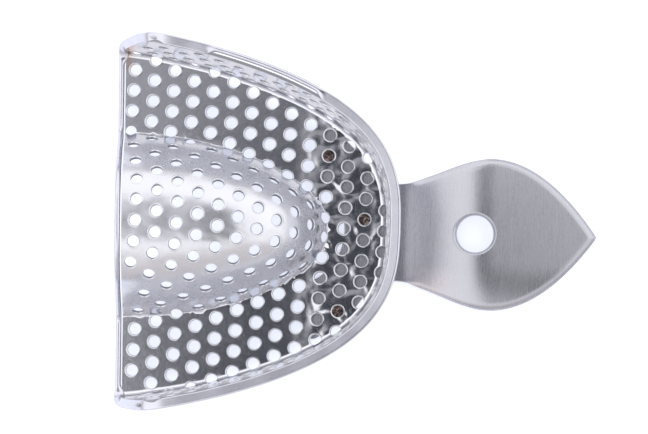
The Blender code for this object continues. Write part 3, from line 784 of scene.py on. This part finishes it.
def makeHandle():
    insets = [ring[0] for ring in grip["edgeRings"]]
    edges = np.stack([offsetLoop(handleLoop, inset) for inset in insets])
    turn = -np.arange(grip["holeSides"]) * 2 * math.pi / grip["holeSides"]
    circle = np.stack([np.cos(turn), np.sin(turn)], axis=1)
    radii = grip["holeDiameter"] / 2 + np.array([ring[0] for ring in grip["holeRings"]])
    hole = hangingHole + radii[:, None, None] * circle[None]
    rows = []
    for inset in grip["rows"]:
        row = offsetLoop(handleLoop, inset)
        rows.append(row[np.abs(loopDistance(handleLoop, row) - inset) < 0.02])
    grid = np.meshgrid(*(np.arange(*span, grip["spacing"]) for span in grip["span"]))
    grid = np.stack(grid, axis=-1).reshape(-1, 2)
    grid = grid[insideLoop(handleLoop, grid)]
    grid = grid[loopDistance(handleLoop, grid) > grip["gridFrom"]]
    extra = np.concatenate(rows + [grid])
    extra = extra[np.hypot(*(extra - hangingHole).T) > radii[0] + grip["holeRoom"]]
    handle = pressedSheet(
        "tray_handle", handleSurface, grip["thickness"], edges, grip["edgeRings"],
        hole[None], grip["holeRings"], extra,
    )
    print("handle:", len(handle.data.polygons), "faces")
    return handle


# welds: fused beads whose surface is a sphere pressed flat, with lobes and a crater

def beadShape(size, lobes, seed, drop, turn):    # drop is how far it sinks below the CAD's middle
    return {"size": size, "lobes": lobes, "seed": seed, "drop": drop, "turn": turn}


welds = {
    "spot_weld_left": beadShape((2.5, 2.4, 0.75), lobes=3, seed=1.3, drop=0.0, turn=0.3),
    "spot_weld_centre": beadShape((2.9, 1.9, 0.8), lobes=2, seed=4.1, drop=0.0, turn=-0.8),
    "spot_weld_right": beadShape((2.4, 2.5, 0.75), lobes=4, seed=7.7, drop=0.0, turn=1.1),
}
tacks = {
    "rim_tack_left": beadShape((1.1, 0.7, 0.45), lobes=2, seed=2.2, drop=0.32, turn=-0.12),
    "rim_tack_right": beadShape((1.2, 0.7, 0.45), lobes=3, seed=5.9, drop=0.32, turn=0.12),
}


def makeBead(name, place, shape):
    around = np.linspace(0.0, 2 * math.pi, 48, endpoint=False)
    down = np.linspace(0.0, math.pi, 26)[1:-1]
    a, b = np.meshgrid(around, down)
    flow = np.sin(shape["lobes"] * a + shape["seed"]) * 0.14 + 0.06 * np.sin(7 * a + 3 * b)
    crater = 0.35 * np.exp(-((np.sin(b) - 0.35) ** 2) * 30) * np.cos(2 * a + shape["seed"])
    radius = np.sin(b) * (1 + flow * np.sin(b))
    height = np.cos(b) * (1 + crater + 0.08 * np.sin(5 * a) * np.sin(b))
    half = np.array(shape["size"]) / 2
    points = np.stack([radius * np.cos(a), radius * np.sin(a), height], axis=-1) * half
    top, bottom = np.array([[0, 0, half[2] * 0.8]]), np.array([[0, 0, -half[2]]])
    points = np.concatenate([points.reshape(-1, 3), top, bottom])
    spin = np.array(Matrix.Rotation(shape["turn"], 3, "Z"))
    points = points @ spin.T + place
    rows, sides = a.shape
    index = np.arange(rows * sides).reshape(rows, sides)
    after = np.roll(index, -1, 1)
    quads = np.stack([index[:-1], index[1:], after[1:], after[:-1]], axis=-1).reshape(-1, 4)
    crown = np.stack([np.full(sides, rows * sides), index[0], after[0]], axis=1)
    base = np.stack([np.full(sides, rows * sides + 1), after[-1], index[-1]], axis=1)
    return toMesh(name, points, [quads, crown, base])


def middleOf(node):    # a CAD node's middle, in millimetres from the back edge
    low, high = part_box(node)
    return np.array((low + high) / 2) / millimetre - (trayBack, 0, 0)


def makeWelds():
    made = {}
    for name, shape in {**welds, **tacks}.items():
        place = middleOf(name) - (0.0, 0.0, shape["drop"])
        made[name] = makeBead(name + "_bead", place, shape)
    print("welds:", len(made))
    return made


# finishes

def sheetSteel():
    finish = Finish("polishedSheet", Metallic=1.0)
    place = finish.millimetres()
    cloud = finish.noise(place, 0.16, 3.0, 0.6)
    haze = finish.noise(place, 1.1, 4.0, 0.65)
    rub = finish.noise(finish.millimetres((0.5, 6.0, 6.0), 0.35), 1.0, 3.0, 0.6)
    pits = finish.between(finish.noise(place, 7.0, 2.0), 0.66, 0.74)
    x, y = finish.split(place, 0), finish.split(place, 1)
    drift = finish.noise(place, 0.45, 3.0) * 3.0 - 1.5
    nearBack = finish.between(x + drift * 0.4, 0.3, 2.2, 1.0, 0.0)
    rightScorch = finish.between(y + drift, -33.0, -29.5)
    rightScorch = rightScorch * finish.between(y + drift, -23.0, -20.5, 1.0, 0.0)
    leftScorch = finish.between(y + drift, 28.5, 30.5) * 0.45
    scorch = nearBack * (rightScorch + leftScorch)
    steel = finish.mix(cloud, coloured(0.60, 0.605, 0.635), coloured(0.70, 0.70, 0.73))
    steel = finish.mix(pits * 0.35, steel, coloured(0.42, 0.42, 0.45))
    steel = finish.mix(scorch * 0.85, steel, coloured(0.52, 0.27, 0.10))
    # the cut walls round the perforations and along the sheet's edge are rougher, and their colour
    # is painted dark as painted shade for the shade inside the holes
    cut = finish.attribute("cut")
    wallShadeSteel = finish.mix(cut * 0.75, steel, coloured(0.16, 0.165, 0.18))
    drawn = finish.between(finish.split(place, 2), floorLevel + 1.5, floorLevel + 5.0)
    drawn = drawn * finish.between(finish.absolute(y), 21.0, 18.0)
    waves = finish.noise(finish.millimetres((0.8, 1.2, 1.0)), 0.2, 1.5, 0.45) * drawn
    uneven = finish.noise(place, 0.30, 1.0, 0.4, 0.3) * finish.between(x, 33.0, 40.0)
    rough = 0.06 + 0.06 * cloud + 0.08 * haze + 0.15 * pits + 0.15 * drawn + 0.3 * cut
    relief = finish.bump(waves, 0.3, finish.bump(uneven, 0.34))
    relief = finish.bump(rub, 0.003, finish.bump(haze, 0.006, relief))
    finish.set({"Base Color": wallShadeSteel, "Roughness": rough, "Normal": relief})
    return finish.material


def wireSteel():
    finish = Finish("polishedWire", Metallic=1.0)
    place = finish.millimetres()
    cloud = finish.noise(place, 0.35, 3.0, 0.6)
    file = finish.noise(finish.millimetres((2.0, 2.0, 9.0)), 1.3, 3.0, 0.6)
    steel = finish.mix(cloud, coloured(0.54, 0.54, 0.59), coloured(0.66, 0.66, 0.71))
    finish.set({
        "Base Color": steel,
        "Roughness": 0.15 + 0.12 * file,
        "Normal": finish.bump(file, 0.003),
    })
    return finish.material


def handleSteel():
    finish = Finish("brushedSheet", Metallic=1.0)
    place = finish.millimetres()
    streak = finish.noise(finish.millimetres((9.0, 0.18, 1.0), 0.06), 1.0, 4.0, 0.7)
    fine = finish.noise(finish.millimetres((26.0, 0.5, 1.0), -0.04), 1.0, 3.0, 0.7)
    cloud = finish.noise(place, 0.14, 3.0, 0.6)
    scratch = finish.noise(finish.millimetres((1.6, 7.0, 1.0), 0.7), 1.0, 2.0)
    nicks = finish.between(scratch, 0.70, 0.76)
    x, y = finish.split(place, 0), finish.split(place, 1)
    warm = finish.between(x, 54.0, 58.0) * finish.between(x, 60.0, 66.0, 1.0, 0.0)
    warm = warm * finish.between(y, -5.5, -9.0) * 0.25
    steel = finish.mix(streak, coloured(0.36, 0.36, 0.39), coloured(0.54, 0.54, 0.57))
    steel = finish.mix(cloud * 0.35, steel, coloured(0.50, 0.505, 0.55))
    steel = finish.mix(warm, steel, coloured(0.66, 0.52, 0.52))
    steel = finish.mix(nicks * 0.3, steel, coloured(0.36, 0.36, 0.38))
    rough = 0.20 + 0.10 * streak + 0.05 * cloud
    relief = finish.bump(streak, 0.006, finish.bump(fine, 0.003))
    finish.set({"Base Color": steel, "Roughness": rough, "Normal": relief})
    return finish.material


def burntMetal():
    finish = Finish("burntWeld", Metallic=0.85)
    place = finish.millimetres()
    flow = finish.noise(place, 1.6, 4.0, 0.6, 0.8)
    crust = finish.noise(place, 7.0, 4.0, 0.65)
    stops = [(0.3, (0.012, 0.010, 0.009)), (0.5, (0.05, 0.038, 0.032)), (0.68, (0.34, 0.25, 0.24))]
    colour = finish.node("ShaderNodeValToRGB", {"stops": stops}, {"Fac": flow})
    rough = 0.22 + 0.35 * crust
    finish.set({"Base Color": colour, "Roughness": rough, "Normal": finish.bump(crust, 0.05)})
    return finish.material


def tackMetal():
    finish = Finish("tackWeld", Metallic=0.95)
    place = finish.millimetres()
    flow = finish.noise(place, 1.2, 4.0, 0.6, 0.5)
    crust = finish.noise(place, 6.0, 4.0, 0.65)
    stops = [(0.34, (0.06, 0.055, 0.055)), (0.44, (0.42, 0.41, 0.43)), (0.6, (0.62, 0.62, 0.65))]
    colour = finish.node("ShaderNodeValToRGB", {"stops": stops}, {"Fac": flow})
    rough = 0.2 + 0.3 * crust
    finish.set({"Base Color": colour, "Roughness": rough, "Normal": finish.bump(crust, 0.04)})
    return finish.material


# put the pieces together

shell = makeShell()
shell.data.materials.append(sheetSteel())
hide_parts("perforated_shell")

wire = makeRim()
wire.data.materials.append(wireSteel())
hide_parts("rim_wire")

handle = makeHandle()
handle.data.materials.append(handleSteel())
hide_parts("handle")

burnt, tackFinish = burntMetal(), tackMetal()
for node, bead in makeWelds().items():
    isSpot = node in welds
    bead.data.materials.append(burnt if isSpot else tackFinish)
    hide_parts(node)
    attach(bead, "root")
for piece in (shell, wire, handle):
    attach(piece, "root")
print("pieces ride on root")


# the floor, a pale studio with grey and dark panels overhead, and the camera

studio = {
    "floorHalfSize": 3.0,                # metres
    "floorGap": 0.02,                    # millimetres under what stands on it
    "floorColour": (0.60, 0.60, 0.62),
    "floorGlow": (0.56, 0.59, 0.68),     # the floor is a lit table
    "tent": (1.50, 1.50, 1.54),
    "horizon": (0.38, 0.38, 0.41),
    "horizonTop": (0.02, 0.24),          # height of direction where the tent takes over
    "dullWay": (0.35, -0.94, 0.0),       # the tent is duller and warmer on this side
    "dullSide": (0.86, 0.82, 0.83),
    "dullFrom": (0.30, 0.85),
    # panels overhead: slope from straight up, half sizes, edge softness, radiance
    "panels": [
        {"at": (0.0, 0.20), "reach": (0.20, 0.40), "soft": 0.3, "light": (0.45, 0.45, 0.49)},
        {"at": (0.24, -0.24), "reach": (0.16, 0.19), "soft": 0.3, "light": (0.06, 0.065, 0.08)},
        {"at": (0.03, -0.03), "reach": (0.16, 0.17), "soft": 0.5, "light": (0.06, 0.065, 0.08)},
    ],
}
cameraView = {
    "aim": (39.08, 2.49),         # millimetres from the back edge, on the floor of the tray
    "distance": 400.0,
    "leanX": math.radians(2.8),
    "leanY": math.radians(-3.5),
    "turn": math.radians(1.7),
    "lens": 117.0,
    "sensorWidth": 36.0,
    "clip": (0.01, 20.0),         # metres
}


def makeFloor():
    mesh = bpy.data.meshes.new("floor")
    size, z = studio["floorHalfSize"], cadLow.z - studio["floorGap"] * millimetre
    corners = [(-size, -size, z), (size, -size, z), (size, size, z), (-size, size, z)]
    mesh.from_pydata(corners, [], [(0, 1, 2, 3)])
    floor = bpy.data.objects.new("floor", mesh)
    bpy.context.scene.collection.objects.link(floor)
    finish = Finish("paleFloor", Roughness=0.9)
    glow = {"Emission Color": coloured(*studio["floorGlow"]), "Emission Strength": 1.0}
    finish.set({"Base Color": coloured(*studio["floorColour"]), **glow})
    mesh.materials.append(finish.material)


def makeStudio():
    # radiance by direction (X, Y, Z): a tent over a horizon, then the panels, each an ellipse in
    # the slopes X / Z and Y / Z
    world = bpy.data.worlds.new("studio")
    bpy.context.scene.world = world
    world.use_nodes = True
    tree = world.node_tree
    tree.nodes.clear()

    def node(kind, settings, values, output=0):
        made = tree.nodes.new(kind)
        for key, value in settings.items():
            setattr(made, key, value)
        for key, value in values.items():
            if isinstance(value, bpy.types.NodeSocket):
                tree.links.new(value, made.inputs[key])
            else:
                made.inputs[key].default_value = value
        return made.outputs[output]

    def step(value, first, last):
        values = {"Value": value, "From Min": first, "From Max": last}
        return node("ShaderNodeMapRange", {"interpolation_type": "SMOOTHSTEP"}, values)

    def mixed(share, first, second):
        return node("ShaderNodeMix", {"data_type": "RGBA"}, {0: share, 6: first, 7: second}, 2)

    direction = node("ShaderNodeTexCoord", {}, {}, "Generated")
    height = node("ShaderNodeSeparateXYZ", {}, {0: direction}, "Z")
    values = {0: direction, 1: studio["dullWay"]}
    dull = node("ShaderNodeVectorMath", {"operation": "DOT_PRODUCT"}, values, "Value")
    tent = coloured(*studio["tent"])
    colour = mixed(step(dull, *studio["dullFrom"]), tent, coloured(*studio["dullSide"]))
    colour = mixed(step(height, *studio["horizonTop"]), coloured(*studio["horizon"]), colour)
    above = node("ShaderNodeMath", {"operation": "MAXIMUM"}, {0: height, 1: 0.05})
    stretch = node("ShaderNodeMath", {"operation": "DIVIDE"}, {0: 1.0, 1: above})
    slopes = node("ShaderNodeVectorMath", {"operation": "SCALE"}, {0: direction, "Scale": stretch})
    for panel in studio["panels"]:
        (atX, atY), (reachX, reachY) = panel["at"], panel["reach"]
        values = {0: slopes, 1: (atX, atY, 1.0)}
        gap = node("ShaderNodeVectorMath", {"operation": "SUBTRACT"}, values)
        values = {0: gap, 1: (1 / reachX, 1 / reachY, 1.0)}
        scaled = node("ShaderNodeVectorMath", {"operation": "MULTIPLY"}, values)
        reach = node("ShaderNodeVectorMath", {"operation": "LENGTH"}, {0: scaled}, "Value")
        outside = step(reach, 1.0 - panel["soft"] / 2, 1.0 + panel["soft"])
        colour = mixed(outside, coloured(*panel["light"]), colour)
    background = node("ShaderNodeBackground", {}, {"Color": colour, "Strength": 1.0})
    output = tree.nodes.new("ShaderNodeOutputWorld")
    tree.links.new(background, output.inputs["Surface"])


def makeCamera():
    view = cameraView
    aim = np.array((view["aim"][0] + trayBack, view["aim"][1], floorLevel))
    back = np.array((math.tan(view["leanX"]), math.tan(view["leanY"]), 1.0))
    place = aim + view["distance"] * back
    back = unit(back)
    right = np.array((math.cos(view["turn"]), math.sin(view["turn"]), 0.0))
    right = unit(right - back * (right @ back))
    up = np.cross(back, right)
    data = bpy.data.cameras.new("camera")
    data.lens, data.sensor_width = view["lens"], view["sensorWidth"]
    data.clip_start, data.clip_end = view["clip"]
    camera = bpy.data.objects.new("camera", data)
    bpy.context.scene.collection.objects.link(camera)
    rows = np.eye(4)
    rows[:3] = np.stack([right, up, back, place * millimetre], axis=1)
    camera.matrix_world = Matrix(rows.tolist())
    bpy.context.scene.camera = camera


makeFloor()
makeStudio()
makeCamera()
bpy.context.scene.view_settings.view_transform = "Standard"
print("studio ready")
